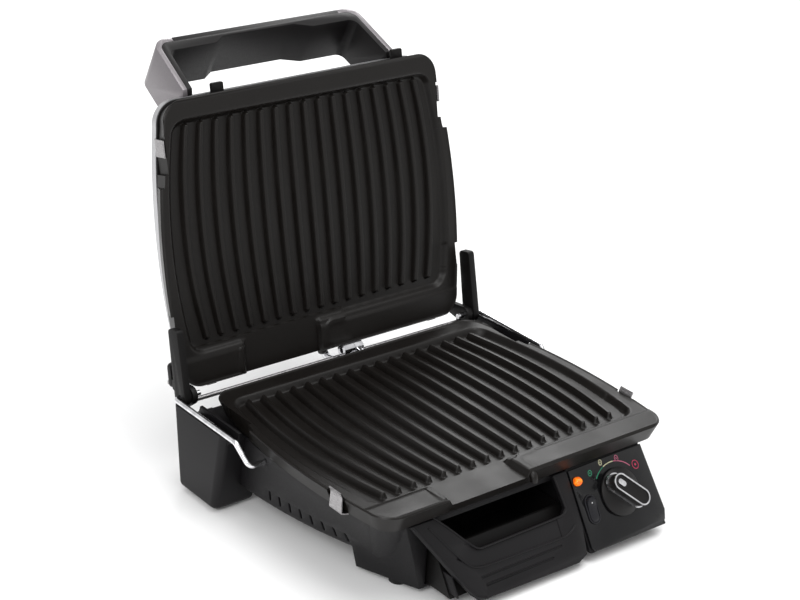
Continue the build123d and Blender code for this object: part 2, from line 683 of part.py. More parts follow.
def lid_inner_frame():
    """Black frame that closes the lid behind the upper plate, with an ear at each hinge."""
    frame = extrude(barrel(*LID_FOOT, 110.4, 0.6), LID_EDGE_Z - 110.4)
    frame += lid_solid(LID_WALL + 0.4) & block((-200, 200), (-200, 200), (LID_EDGE_Z, LID_EDGE_Z + 1.4))
    frame -= extrude(barrel((134.0, 140.0, 132.0), -104.0, 112.0, 14.0, 100), 20)
    (x0, x1), (y0, y1), (z0, z1) = EAR
    ear = block((x0, x1), (y0, y1), (z0, z1))
    ear = fillet(ear.edges().filter_by(Axis.Z).group_by(Axis.X)[-1], 4.0)
    frame += ear + mirror(ear, about=Plane.YZ)
    for side in (1, -1):
        frame -= rod_z(100, 120, side * SCREW_X, SCREW_Y, 1.3)
    return frame


def upper_thermal_cutout():
    """Cut-out disc on the lid's heater tray."""
    return rod_z(114.5, 120.5, 0, 20, 8.0) + block((-14, 14), (17, 23), (114.5, 115.7))


def lid_screws():
    """Screws through the frame's ears into the brackets."""
    screws = []
    for side in (1, -1):
        x = side * SCREW_X
        screws.append(rod_z(116.0, 118.2, x, SCREW_Y, 2.5) + rod_z(104.0, 116.5, x, SCREW_Y, 1.2))
    return Compound(screws)


def handle_plane():
    """Sketch plane of the handle: X across, Y away from the lid, extruded across the strap."""
    rise = 48.0 / HANDLE_REACH
    return Plane(origin=(0, -128.3, 116.0), x_dir=(1, 0, 0), z_dir=(0, -rise, -36.7 / HANDLE_REACH))


def strap_outline(side, top, corner, low=-14.0):
    """Half-open loop outline, slightly narrower at its outer end."""
    points = [(-side - 0.6, low), (5.0 - side, top), (side - 5.0, top), (side + 0.6, low)]
    face = make_face(Polyline(*points, close=True))
    corners = [v for v in face.vertices() if v.Y > low + 1]
    return fillet(corners, corner)


def handle_pieces():
    """Grip with linings, and the two end caps, cut to the lid's front."""
    outer = strap_outline(119.0, HANDLE_REACH, 14.0)
    lining = strap_outline(114.0, HANDLE_REACH - 5.0, 10.0)
    loop = strap_outline(109.0, HANDLE_REACH - 16.0, 8.0, -15.0)
    recess = [(-53, 40), (-53, 44.4), (-42, 51.4), (37, 51.4), (56, 44.4), (56, 40)]
    scoop = make_face(Polyline(*recess, close=True))
    middle = Pos(0, 55) * Rectangle(186.0, 40.0)
    grip = lining + (outer & middle) - loop - scoop
    caps = outer - lining - middle
    stock = lid_solid()
    plane = handle_plane()
    above = block((-200, 200), (-300, 200), (LID_EDGE_Z, 300))
    grip_solid = extrude(plane * grip, -HANDLE_WIDE) - stock & above
    cap_solid = extrude(plane * caps, -HANDLE_WIDE) - stock & above
    parts = sorted(cap_solid.solids(), key=lambda s: -s.volume)[:2]
    left, right = sorted(parts, key=lambda s: s.center().X)
    grip_body = max(grip_solid.solids(), key=lambda s: s.volume)
    return grip_body, left, right


# ---------------------------------------------------------------- clips, tabs, conduit
def bent_strip(points, y0, y1):
    """Spring-steel strip bent along (x, z) points, between y0 and y1."""
    path = FilletPolyline(*points, radius=1.6)
    band = offset(path, amount=SHEET / 2, side=Side.BOTH)
    return Pos(0, y1, 0) * extrude(Plane.XZ * make_face(band.edges()), y1 - y0)


def lower_clip():
    """Right-hand clip on the housing, its nose in the plate's notch."""
    edge = notch_x(CLIP_Y) + 0.4 + SHEET / 2
    points = [(158.6, 66.0), (159.4, 73.0), (edge + 1.6, 77.5), (edge, 92.0), (edge + 2.2, 96.0)]
    return bent_strip(points, CLIP_Y - CLIP_WIDE / 2, CLIP_Y + CLIP_WIDE / 2)


def upper_clip():
    """Right-hand clip on the lid, in the closed position, its nose in the upper plate's notch."""
    edge = 152.6 + 0.4 + SHEET / 2
    points = [(160.2, 121.0), (160.0, 112.5), (edge + 2.0, 108.0), (edge, 97.0), (edge + 1.4, 94.2)]
    return bent_strip(points, CLIP_Y - CLIP_WIDE / 2, CLIP_Y + CLIP_WIDE / 2)


def plate_tabs():
    """Two bent tabs at the lid's rear that hold the upper plate's edge."""
    tabs = []
    for x in (-129.0, 129.0):
        tab = block((x - 5, x + 5), (133.2, 140.6), (109.2, 110.4))
        tab += block((x - 5, x + 5), (139.4, 140.6), (98.0, 110.0))
        tabs.append(tab)
    return Compound(tabs)


CONDUIT_X = 25.0
CONDUIT_Z = 62.0
CONDUIT_R = 3.2
CONDUIT_SLOT = CONDUIT_R + 0.5
SPIGOT_R = 4.0


def lid_conduit():
    """Swivel and tube that carry the wires into the lid, with the spigot of the base's tube."""
    swivel = rod_x(8, 20, PIVOT_Y, PIVOT_Z, 6.0) + rod_x(19, 29, PIVOT_Y, PIVOT_Z, SPIGOT_R)
    swivel -= rod_x(7, 30, PIVOT_Y, PIVOT_Z, 2.6)
    points = [(14, 145.0, PIVOT_Z), (14, 154.4, PIVOT_Z), (14, 154.4, 121.0), (14, 128.0, 121.0)]
    tube = tube_along(points, 3.75, [5.0, 8.0]) - lid_solid()
    return swivel + max(tube.solids(), key=lambda s: s.volume)


def base_conduit():
    """Tube from the slot in the housing's rear wall to its swivel on the lid's spigot."""
    swivel = rod_x(20.4, 30, PIVOT_Y, PIVOT_Z, 6.0) - rod_x(20, 31, PIVOT_Y, PIVOT_Z, SPIGOT_R + RUNNING)
    route = [(112.0, CONDUIT_Z), (126.6, CONDUIT_Z), (126.6, PIVOT_Z), (135.5, PIVOT_Z)]
    return swivel + tube_along([(CONDUIT_X, y, z) for y, z in route], CONDUIT_R, [6.5, 5.0])


# ---------------------------------------------------------------- write the parts
def all_pieces():
    """Every piece by its name, the lid at its resting angle."""
    plate = cooking_plate()
    tray = heater_tray()
    element = heating_element()
    grip, cap_left, cap_right = handle_pieces()
    towers = both_sides(hinge_tower())
    wires = both_sides(hinge_wire())
    arms = both_sides(opened(hinge_arm()))
    brackets = both_sides(opened(lid_bracket()))
    lower_clips = both_sides(lower_clip())
    upper_clips = both_sides(opened(upper_clip()))
    pieces = {
        "base_housing": base_housing(),
        "base_bottom_cover": base_bottom_cover(),
        "base_screws": base_screws(),
        "rubber_feet": rubber_feet(),
        "control_panel": control_panel(),
        "indicator_lens": indicator_lens(),
        "indicator_lamp": indicator_lamp(),
        "thermostat_body": thermostat_body(),
        "thermostat_shaft": thermostat_shaft(),
        "control_knob": control_knob(),
        "knob_trim": knob_trim(),
        "switch_frame": switch_frame(),
        "rocker_switch": rocker_switch(),
        "tray_fascia": tray_fascia(),
        "tray_bin": tray_bin(),
        "lower_plate": plate,
        "upper_plate": opened(turned_over(plate)),
        "lower_heater_tray": tray,
        "upper_heater_tray": opened(raised(tray)),
        "lower_heating_element": element,
        "upper_heating_element": opened(raised(element)),
        "terminal_block": terminal_block(),
        "thermal_fuse": thermal_fuse(),
        "cord_inlet_gland": cord_inlet_gland(),
        "base_conduit": base_conduit(),
        "tie_rod": opened(tie_rod()),
        "lid_shell": opened(lid_shell()),
        "lid_inner_frame": opened(lid_inner_frame()),
        "upper_thermal_cutout": opened(upper_thermal_cutout()),
        "lid_screws": opened(lid_screws()),
        "lid_conduit": opened(lid_conduit()),
        "plate_tabs": opened(plate_tabs()),
        "handle_grip": opened(grip),
        "handle_cap_left": opened(cap_left),
        "handle_cap_right": opened(cap_right),
    }
    for side in ("left", "right"):
        pieces[f"hinge_tower_{side}"] = towers[side]
        pieces[f"hinge_wire_{side}"] = wires[side]
        pieces[f"hinge_arm_{side}"] = arms[side]
        pieces[f"lid_bracket_{side}"] = brackets[side]
        pieces[f"lower_clip_{side}"] = lower_clips[side]
        pieces[f"upper_clip_{side}"] = upper_clips[side]
    return pieces


def main():
    os.makedirs("parts", exist_ok=True)
    for name, shape in all_pieces().items():
        export_step(Pos(0, -ORIGIN_Y, 0) * shape, f"parts/{name}.step")


main()
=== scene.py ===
import json
from math import cos, hypot, pi, radians, sin, sqrt

import bpy
from mathutils import Matrix, Vector


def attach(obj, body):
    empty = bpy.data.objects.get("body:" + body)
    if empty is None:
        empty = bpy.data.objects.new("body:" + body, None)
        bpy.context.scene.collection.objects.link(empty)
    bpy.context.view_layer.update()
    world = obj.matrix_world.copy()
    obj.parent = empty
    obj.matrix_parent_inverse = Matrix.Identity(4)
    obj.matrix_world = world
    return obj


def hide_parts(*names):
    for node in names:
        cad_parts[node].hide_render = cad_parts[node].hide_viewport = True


# Looks of the electric indoor grill: camera, light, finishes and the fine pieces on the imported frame.
# Metres, +X to the right, +Y to the rear, +Z up, the origin on the table under the open grill.
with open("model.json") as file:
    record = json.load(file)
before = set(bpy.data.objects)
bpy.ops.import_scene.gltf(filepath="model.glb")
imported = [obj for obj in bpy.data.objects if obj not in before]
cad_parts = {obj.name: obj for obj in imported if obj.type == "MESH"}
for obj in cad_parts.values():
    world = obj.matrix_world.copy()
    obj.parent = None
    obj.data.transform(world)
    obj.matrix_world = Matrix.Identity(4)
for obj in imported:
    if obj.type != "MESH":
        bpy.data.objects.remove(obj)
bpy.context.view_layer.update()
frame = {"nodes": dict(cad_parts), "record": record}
MM = 0.001


# ---------------------------------------------------------------- camera and studio
CAMERA_AT = (-1.0333, -1.2368, 0.9049)
CAMERA_AZIMUTH = 40.194  # degrees from +Y towards +X
CAMERA_DROP = 24.536  # degrees below the horizon
CAMERA_ROLL = 3.604
CAMERA_LENS = 89.31
SENSOR_WIDTH = 36.0


def make_camera():
    """Camera at the photograph's place, with its slight roll."""
    azimuth, drop, roll = (radians(a) for a in (CAMERA_AZIMUTH, CAMERA_DROP, CAMERA_ROLL))
    forward = Vector((sin(azimuth) * cos(drop), cos(azimuth) * cos(drop), -sin(drop)))
    level = forward.cross(Vector((0, 0, 1))).normalized()
    upright = level.cross(forward)
    right = cos(roll) * level + sin(roll) * upright
    up = cos(roll) * upright - sin(roll) * level
    data = bpy.data.cameras.new("camera")
    data.lens = CAMERA_LENS
    data.sensor_width = SENSOR_WIDTH
    camera = bpy.data.objects.new("camera", data)
    axes = Matrix((right, up, -forward)).transposed().to_4x4()
    camera.matrix_world = Matrix.Translation(CAMERA_AT) @ axes
    bpy.context.scene.collection.objects.link(camera)
    bpy.context.scene.camera = camera
    bpy.context.scene.view_settings.view_transform = "Standard"


def make_floor():
    """Wide pale floor under the object."""
    size = 12.0
    mesh = bpy.data.meshes.new("floor")
    corners = [(-size, -size, 0), (size, -size, 0), (size, size, 0), (-size, size, 0)]
    mesh.from_pydata(corners, [], [(0, 1, 2, 3)])
    floor = bpy.data.objects.new("floor", mesh)
    bpy.context.scene.collection.objects.link(floor)
    paint = bpy.data.materials.new("floor_paper")
    paint.use_nodes = True
    shader = paint.node_tree.nodes["Principled BSDF"]
    shader.inputs["Base Color"].default_value = (0.93, 0.93, 0.93, 1)
    shader.inputs["Roughness"].default_value = 0.9
    shader.inputs["Specular IOR Level"].default_value = 0.1
    mesh.materials.append(paint)


def softbox(name, at, aim, size, power, tint=(1, 1, 1)):
    """Rectangular area light at a point, turned towards another."""
    data = bpy.data.lights.new(name, "AREA")
    data.shape = "RECTANGLE"
    data.size, data.size_y = size
    data.energy = power
    data.color = tint
    light = bpy.data.objects.new(name, data)
    light.location = at
    direction = Vector(aim) - Vector(at)
    light.rotation_mode = "QUATERNION"
    light.rotation_quaternion = direction.to_track_quat("-Z", "Y")
    bpy.context.scene.collection.objects.link(light)


def make_light():
    """Soft studio light: an even surround, a large key from the left and a top panel."""
    world = bpy.data.worlds.new("studio")
    world.use_nodes = True
    background = world.node_tree.nodes["Background"]
    background.inputs["Color"].default_value = (1, 1, 1, 1)
    background.inputs["Strength"].default_value = 0.75
    bpy.context.scene.world = world
    middle = (0, 0, 0.15)
    softbox("key", (-1.9, -1.2, 1.7), middle, (1.2, 1.0), 26)
    softbox("top", (0.2, -0.4, 2.2), middle, (1.4, 1.4), 26)
    softbox("rim", (1.4, 1.6, 1.5), middle, (1.0, 0.8), 16)


# ---------------------------------------------------------------- material helpers
def new_material(name, roughness, metallic=0.0):
    """Material with a Principled shader, and the shader's node tree."""
    material = bpy.data.materials.new(name)
    material.use_nodes = True
    shader = material.node_tree.nodes["Principled BSDF"]
    shader.inputs["Roughness"].default_value = roughness
    shader.inputs["Metallic"].default_value = metallic
    return material, material.node_tree, shader


def noise(tree, scale, detail=3.0, stretch=(1, 1, 1)):
    """Noise over the object's own coordinates, scale in waves per metre."""
    place = tree.nodes.new("ShaderNodeTexCoord")
    mapping = tree.nodes.new("ShaderNodeMapping")
    mapping.inputs["Scale"].default_value = stretch
    texture = tree.nodes.new("ShaderNodeTexNoise")
    texture.inputs["Scale"].default_value = scale
    texture.inputs["Detail"].default_value = detail
    tree.links.new(place.outputs["Object"], mapping.inputs["Vector"])
    tree.links.new(mapping.outputs["Vector"], texture.inputs["Vector"])
    return texture.outputs["Fac"]


def tint(tree, shader, factor, dark, light, low=0.35, high=0.65):
    """Base colour that runs from dark to light with a factor."""
    ramp = tree.nodes.new("ShaderNodeValToRGB")
    ramp.color_ramp.elements[0].position = low
    ramp.color_ramp.elements[0].color = (*dark, 1)
    ramp.color_ramp.elements[1].position = high
    ramp.color_ramp.elements[1].color = (*light, 1)
    tree.links.new(factor, ramp.inputs["Fac"])
    tree.links.new(ramp.outputs["Color"], shader.inputs["Base Color"])


def vary(tree, shader, factor, low, high, socket="Roughness"):
    """Shader value that runs from low to high with a factor."""
    spread = tree.nodes.new("ShaderNodeMapRange")
    spread.inputs["From Min"].default_value = 0.3
    spread.inputs["From Max"].default_value = 0.7
    spread.inputs["To Min"].default_value = low
    spread.inputs["To Max"].default_value = high
    tree.links.new(factor, spread.inputs["Value"])
    tree.links.new(spread.outputs["Result"], shader.inputs[socket])


def emboss(tree, shader, *layers):
    """Bump from (factor, depth in metres) layers, one on another."""
    below = None
    for factor, depth in layers:
        bump = tree.nodes.new("ShaderNodeBump")
        bump.inputs["Strength"].default_value = 1.0
        bump.inputs["Distance"].default_value = depth
        tree.links.new(factor, bump.inputs["Height"])
        if below is not None:
            tree.links.new(below, bump.inputs["Normal"])
        below = bump.outputs["Normal"]
    tree.links.new(below, shader.inputs["Normal"])


# ---------------------------------------------------------------- finishes
def nonstick():
    """Brown-black sprayed coating with a fine speckle, slightly uneven in gloss."""
    material, tree, shader = new_material("plate_nonstick", 0.4)
    speckle = noise(tree, 1900, 2)
    cloud = noise(tree, 22, 3)
    tint(tree, shader, speckle, (0.0032, 0.0025, 0.0021), (0.0085, 0.0068, 0.0056), 0.42, 0.68)
    vary(tree, shader, cloud, 0.34, 0.46)
    shader.inputs["Specular IOR Level"].default_value = 0.27
    emboss(tree, shader, (speckle, 0.03 * MM), (noise(tree, 500, 2), 0.02 * MM))
    return material


def moulded(name, dark, light, roughness, grain, depth):
    """Moulded plastic with an even spark-eroded grain."""
    material, tree, shader = new_material(name, roughness)
    shader.inputs["Specular IOR Level"].default_value = 0.22
    cells = noise(tree, grain, 2)
    cloud = noise(tree, 14, 3)
    tint(tree, shader, cloud, dark, light)
    vary(tree, shader, cells, roughness - 0.07, roughness + 0.07)
    emboss(tree, shader, (cells, depth))
    return material


def satin_paint(name, dark, light, roughness, metallic):
    """Silver-grey metallic lacquer with fine flakes."""
    material, tree, shader = new_material(name, roughness, metallic)
    flakes = noise(tree, 2600, 1)
    tint(tree, shader, flakes, dark, light, 0.3, 0.7)
    vary(tree, shader, noise(tree, 30, 3), roughness - 0.04, roughness + 0.05)
    shader.inputs["Coat Weight"].default_value = 0.15
    shader.inputs["Coat Roughness"].default_value = 0.25
    emboss(tree, shader, (flakes, 0.008 * MM), (noise(tree, 120, 2), 0.02 * MM))
    return material


def bright_chrome():
    """Plated wire and trim, with faint drawing marks."""
    material, tree, shader = new_material("chrome", 0.1, 1.0)
    marks = noise(tree, 160, 4)
    tint(tree, shader, marks, (0.62, 0.62, 0.64), (0.86, 0.86, 0.88))
    vary(tree, shader, marks, 0.06, 0.2)
    emboss(tree, shader, (noise(tree, 700, 2), 0.012 * MM))
    return material


def brushed(name, dark, light, roughness, stretch):
    """Plain sheet steel with rolling marks along one direction."""
    material, tree, shader = new_material(name, roughness, 1.0)
    lines = noise(tree, 300, 4, stretch)
    tint(tree, shader, lines, dark, light)
    vary(tree, shader, lines, roughness - 0.08, roughness + 0.12)
    emboss(tree, shader, (lines, 0.02 * MM))
    return material


def gloss_black():
    """Polished black moulding with the faintest orange peel."""
    material, tree, shader = new_material("panel_gloss", 0.16)
    tint(tree, shader, noise(tree, 40, 2), (0.0035, 0.0035, 0.004), (0.006, 0.006, 0.0065))
    vary(tree, shader, noise(tree, 60, 3), 0.12, 0.24)
    shader.inputs["Specular IOR Level"].default_value = 0.35
    emboss(tree, shader, (noise(tree, 180, 2), 0.012 * MM))
    return material


def amber_lens():
    """Lit amber lens, a little uneven in colour and glow."""
    material, tree, shader = new_material("lens_amber", 0.22)
    glow = noise(tree, 420, 2)
    tint(tree, shader, glow, (0.9, 0.12, 0.004), (1.0, 0.3, 0.02))
    shader.inputs["Emission Color"].default_value = (1.0, 0.16, 0.01, 1)
    vary(tree, shader, glow, 0.2, 0.6, "Emission Strength")
    emboss(tree, shader, (glow, 0.05 * MM))
    return material


def clear_glass():
    """Glass of the neon lamp behind the lens."""
    material, tree, shader = new_material("lamp_glass", 0.08)
    tint(tree, shader, noise(tree, 300, 2), (0.85, 0.45, 0.2), (0.95, 0.7, 0.4))
    shader.inputs["Transmission Weight"].default_value = 0.6
    return material


def printed(name, colour):
    """Screen-printed ink, a little uneven in cover."""
    material, tree, shader = new_material(name, 0.4)
    thin = tuple(0.8 * c for c in colour)
    cover = noise(tree, 900, 3)
    tint(tree, shader, cover, thin, colour)
    vary(tree, shader, cover, 0.35, 0.5)
    return material


def make_finishes():
    """Every finish by the name of its material slot."""
    return {
        "plate_nonstick": nonstick(),
        "housing_plastic": moulded(
            "housing_plastic", (0.0042, 0.0038, 0.0044), (0.0062, 0.0056, 0.0064), 0.48, 1100, 0.05 * MM
        ),
        "frame_plastic": moulded(
            "frame_plastic", (0.0025, 0.0022, 0.0022), (0.004, 0.0035, 0.0035), 0.5, 900, 0.05 * MM
        ),
        "panel_gloss": gloss_black(),
        "lid_metal": satin_paint("lid_metal", (0.42, 0.42, 0.43), (0.55, 0.55, 0.56), 0.34, 0.75),
        "cap_metal": satin_paint("cap_metal", (0.17, 0.155, 0.165), (0.25, 0.235, 0.245), 0.36, 0.6),
        "chrome": bright_chrome(),
        "steel": brushed("steel", (0.27, 0.26, 0.265), (0.42, 0.41, 0.415), 0.32, (1, 1, 6)),
        "heater_steel": brushed("heater_steel", (0.22, 0.22, 0.22), (0.36, 0.35, 0.34), 0.42, (1, 8, 1)),
        "grip_plastic": moulded(
            "grip_plastic", (0.0032, 0.0026, 0.0028), (0.005, 0.0042, 0.0045), 0.46, 1000, 0.04 * MM
        ),
        "knob_plastic": moulded(
            "knob_plastic", (0.006, 0.0055, 0.0055), (0.0095, 0.0088, 0.0088), 0.42, 1300, 0.03 * MM
        ),
        "switch_plastic": moulded(
            "switch_plastic", (0.009, 0.009, 0.011), (0.013, 0.013, 0.0155), 0.3, 1500, 0.01 * MM
        ),
        "lens_amber": amber_lens(),
        "lamp_glass": clear_glass(),
        "ceramic": moulded("ceramic", (0.62, 0.6, 0.55), (0.72, 0.7, 0.66), 0.35, 600, 0.03 * MM),
        "rubber": moulded("rubber", (0.012, 0.012, 0.012), (0.02, 0.02, 0.02), 0.75, 800, 0.06 * MM),
        "sleeve": moulded("sleeve", (0.4, 0.38, 0.33), (0.55, 0.52, 0.46), 0.8, 1500, 0.12 * MM),
        # print_white colours only the rocker's dot, which is a painted highlight, not a print
        "print_white": printed("print_white", (0.6, 0.6, 0.6)),
        "print_green": printed("print_green", (0.01, 0.2, 0.1)),
        "print_cream": printed("print_cream", (0.52, 0.5, 0.32)),
        "print_pink": printed("print_pink", (0.42, 0.1, 0.17)),
        "print_crimson": printed("print_crimson", (0.4, 0.02, 0.07)),
    }


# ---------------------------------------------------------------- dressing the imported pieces
def shade_by_angle(piece, angle=32.0):
    """Smooth shading with sharp edges where the surface turns by more than an angle."""
    group = bpy.data.node_groups.get("shade_by_angle")
    if group is None:
        group = bpy.data.node_groups.new("shade_by_angle", "GeometryNodeTree")
        group.interface.new_socket("Geometry", in_out="INPUT", socket_type="NodeSocketGeometry")
        group.interface.new_socket("Geometry", in_out="OUTPUT", socket_type="NodeSocketGeometry")
        nodes, links = group.nodes, group.links
        source, result = nodes.new("NodeGroupInput"), nodes.new("NodeGroupOutput")
        smooth = nodes.new("GeometryNodeSetShadeSmooth")
        sharp = nodes.new("GeometryNodeSetShadeSmooth")
        sharp.domain = "EDGE"
        sharp.inputs["Shade Smooth"].default_value = False
        turn = nodes.new("GeometryNodeInputMeshEdgeAngle")
        over = nodes.new("FunctionNodeCompare")
        over.operation = "GREATER_THAN"
        over.inputs["B"].default_value = radians(angle)
        links.new(source.outputs[0], smooth.inputs["Geometry"])
        links.new(smooth.outputs["Geometry"], sharp.inputs["Geometry"])
        links.new(turn.outputs["Unsigned Angle"], over.inputs["A"])
        links.new(over.outputs["Result"], sharp.inputs["Selection"])
        links.new(sharp.outputs["Geometry"], result.inputs[0])
    modifier = piece.modifiers.new("shade", "NODES")
    modifier.node_group = group


def soften(piece, width):
    """Welds the tessellated surface, joins its flat faces, rounds its edges and shades it."""
    normals = piece.data.attributes.get("custom_normal")
    if normals is not None:
        piece.data.attributes.remove(normals)
    weld = piece.modifiers.new("weld", "WELD")
    weld.merge_threshold = 0.002 * MM
    if width:
        flat = piece.modifiers.new("flat", "DECIMATE")
        flat.decimate_type = "DISSOLVE"
        flat.angle_limit = radians(0.6)
        rounding = piece.modifiers.new("rounding", "BEVEL")
        rounding.width = width
        rounding.segments = 2
        rounding.limit_method = "ANGLE"
        rounding.angle_limit = radians(35)
        rounding.use_clamp_overlap = False
        rounding.miter_outer = "MITER_ARC"
    shade_by_angle(piece)


EDGE_ROUNDING = {
    "base_housing": 0.8,
    "hinge_tower_left": 0.5,
    "hinge_tower_right": 0.5,
    "tray_fascia": 0.7,
    "control_panel": 0.5,
    "lid_inner_frame": 0.5,
    "handle_grip": 0.8,
    "handle_cap_left": 0.6,
    "handle_cap_right": 0.6,
    "control_knob": 0.3,
    "switch_frame": 0.2,
    "rocker_switch": 0.3,
    "hinge_arm_left": 0.6,
    "hinge_arm_right": 0.6,
    "lid_bracket_left": 0.4,
    "lid_bracket_right": 0.4,
}


def dress_nodes(finishes):
    """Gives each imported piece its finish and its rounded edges."""
    slot_of = {part["node"]: part["material_slot"] for part in frame["record"]["subparts"]}
    for name, piece in frame["nodes"].items():
        piece.data.materials.clear()
        piece.data.materials.append(finishes[slot_of[name]])
        if name not in ("lower_plate", "upper_plate"):
            soften(piece, EDGE_ROUNDING.get(name, 0.0) * MM)


# ---------------------------------------------------------------- the part's own frames, in millimetres
ORIGIN_Y = 64.0  # the finished part's origin, behind the middle of the lower plate
HINGE_Y, HINGE_Z = 140.0, 84.4
LID_OPEN = radians(102.07)
CLOSED_MID_Z = 93.0
PANEL_TOP = (-131.0, 73.0)
PANEL_TILT = radians(33.0)


def placed(point):
    """A drawn point in metres, from the finished part's origin."""
    x, y, z = point
    return Vector((x, y - ORIGIN_Y, z)) * MM


def opened(point):
    """A point of the closed lid after the lid has been turned back to rest."""
    x, y, z = point
    across, rise = y - HINGE_Y, z - HINGE_Z
    turned_y = across * cos(LID_OPEN) + rise * sin(LID_OPEN)
    turned_z = rise * cos(LID_OPEN) - across * sin(LID_OPEN)
    return (x, HINGE_Y + turned_y, HINGE_Z + turned_z)


def turned_over(point):
    """A point of the lower plate's form, turned over into the closed lid."""
    x, y, z = point
    return (x, -y, 2 * CLOSED_MID_Z - z)


def on_panel(x, s, h=0.0):
    """Point on the sloping front: s down the slope, h along its outward normal."""
    y = PANEL_TOP[0] - s * sin(PANEL_TILT) - h * cos(PANEL_TILT)
    z = PANEL_TOP[1] - s * cos(PANEL_TILT) + h * sin(PANEL_TILT)
    return placed((x, y, z))


def new_piece(name, vertices, faces, body, slot, smooth=True):
    """Mesh piece that rides on a body and takes a slot's finish."""
    mesh = bpy.data.meshes.new(name)
    mesh.from_pydata([tuple(v) for v in vertices], [], faces)
    mesh.update()
    if smooth:
        mesh.polygons.foreach_set("use_smooth", [True] * len(mesh.polygons))
    piece = bpy.data.objects.new(name, mesh)
    bpy.context.scene.collection.objects.link(piece)
    mesh.materials.append(FINISHES[slot])
    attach(piece, body)
    return piece


def bead(name, points, radius, body, slot, order=3):
    """Round bead along a smooth path of points in metres."""
    curve = bpy.data.curves.new(name, "CURVE")
    curve.dimensions = "3D"
    curve.bevel_depth = radius * MM
    curve.bevel_resolution = 3
    curve.use_fill_caps = True
    spline = curve.splines.new("NURBS")
    spline.points.add(len(points) - 1)
    for knot, point in zip(spline.points, points):
        knot.co = (*point, 1)
    spline.order_u = order
    spline.use_endpoint_u = True
    spline.resolution_u = 8
    piece = bpy.data.objects.new(name, curve)
    bpy.context.scene.collection.objects.link(piece)
    curve.materials.append(FINISHES[slot])
    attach(piece, body)
    return piece


# ---------------------------------------------------------------- cooking plates
PLATE_FRONT, PLATE_REAR = -139.0, 121.0
PLATE_HALF = (161.0, 167.0, 154.0)  # half-widths at the front corner, the waist and the rear corner
PLATE_CORNER = 22.0
WAIST_Y = -11.0
SKIRT_Z, FLOOR_Z, LAND_Z = 76.0, 85.0, 91.0
CEILING_Z = 81.0
SKIRT_IN = 6.5  # how far the skirt's foot stands inside the rim
SKIRT_STEPS = ((SKIRT_IN, SKIRT_Z), (13.0, SKIRT_Z), (15.0, CEILING_Z))
SKIRT_DRAW = 0.0025  # share by which the ends narrow for each millimetre of inset
LIP_RISE = 0.9  # low lip along the rim

RIB_PITCH, RIB_COUNT, RIB_REACH = 16.0, 17, 95.5
RIB_BOW, RIB_HEIGHT = 0.081, 5.5
RIB_CREST, RIB_FOOT = 1.5, 3.6  # half-widths of a rib's crest and of its foot
RIB_CROWN = 0.25  # rise of a crest's middle over its edges
RIB_STATIONS = (0.0, 1.2, 1.9, 2.6, 3.4, 4.2, 5.8)  # columns on each side of a rib's middle

CLIP_Y = -80.0
CLIP_NOTCH = 11.0  # half the length of a clip's notch
CLIP_NOTCH_DEEP = 2.4
BAY_Y = 46.0  # front end of the hinge arms' bays
BAY_HALF, BAY_STEP, BAY_STEP_LONG = 158.0, 1.5, 6.0
BAY_TAPER = 5.5 / 78.0
REAR_NOTCH = (57.0, 91.0)
REAR_NOTCH_HALF = 152.6

RECESS_HALF = (150.0, 157.0, 147.0)
RECESS_FRONT, RECESS_REAR, RECESS_CORNER = -110.0, 103.0, 16.0
RECESS_SLOPE = (-5.5, 0.4)  # where the field's wall starts and ends, measured out of the field

SPOUT = (-92.0, -6.0)
SPOUT_REAR = -103.0
RAMP_START, RAMP_FALL = -106.0, 9.3 / 44.0
RIGHT_RISE, LEFT_RISE = 1.7, 1.0  # raised flats beside the spout
CURB_RISE = 1.9
CURB_BEND, CURB_RADIUS = (9.0, -124.0), 10.5
CURB_TIP = (-2.0, -134.5)
CURB_END_X = 24.0
NOSE_X, NOSE_Y, NOSE_LONG = -96.5, -125.0, 9.5  # low ridge left of the spout

FIELD_HALF = 134.0  # columns up to here follow the ribs
DRAWN_HALF = 160.0  # the last column, which follows the rim


def ease(low, high, value):
    """Smooth step from 0 at low to 1 at high."""
    t = min(max((value - low) / (high - low), 0.0), 1.0)
    return t * t * (3 - 2 * t)


def bowed(half, y, front=PLATE_FRONT + PLATE_CORNER, rear=PLATE_REAR - PLATE_CORNER):
    """Half-width at y on the arc through the front corner, the waist and the rear corner."""
    near, waist, far = half
    rise = (waist - near) / (WAIST_Y - front)
    bend = ((far - waist) / (rear - WAIST_Y) - rise) / (rear - front)
    y = min(max(y, front), rear)
    return near + rise * (y - front) + bend * (y - front) * (y - WAIST_Y)


def plate_edge(y):
    """Half-width of the plate's whole outline at y, with its round corners."""
    depth = min(y - PLATE_FRONT, PLATE_REAR - y)
    short = PLATE_CORNER - sqrt(max(PLATE_CORNER**2 - max(PLATE_CORNER - depth, 0.0) ** 2, 0.0))
    return bowed(PLATE_HALF, y) - short


def plate_cut(y):
    """Half-width left by the clip notches and the hinge arms' bays at y."""
    limit = 400.0
    if abs(y - CLIP_Y) <= CLIP_NOTCH:
        limit = bowed(PLATE_HALF, CLIP_Y) - CLIP_NOTCH_DEEP
    if y >= BAY_Y:
        step = BAY_STEP * min((y - BAY_Y) / BAY_STEP_LONG, 1.0)
        limit = BAY_HALF - step - BAY_TAPER * max(y - BAY_Y - BAY_STEP_LONG, 0.0)
    if REAR_NOTCH[0] <= y <= REAR_NOTCH[1]:
        limit = min(limit, REAR_NOTCH_HALF)
    return limit


def rib_swell(y):
    """Share by which the ribs stand out from straight at y."""
    return 1 + RIB_BOW * max(0.0, 1 - (y / 99.0) ** 2)


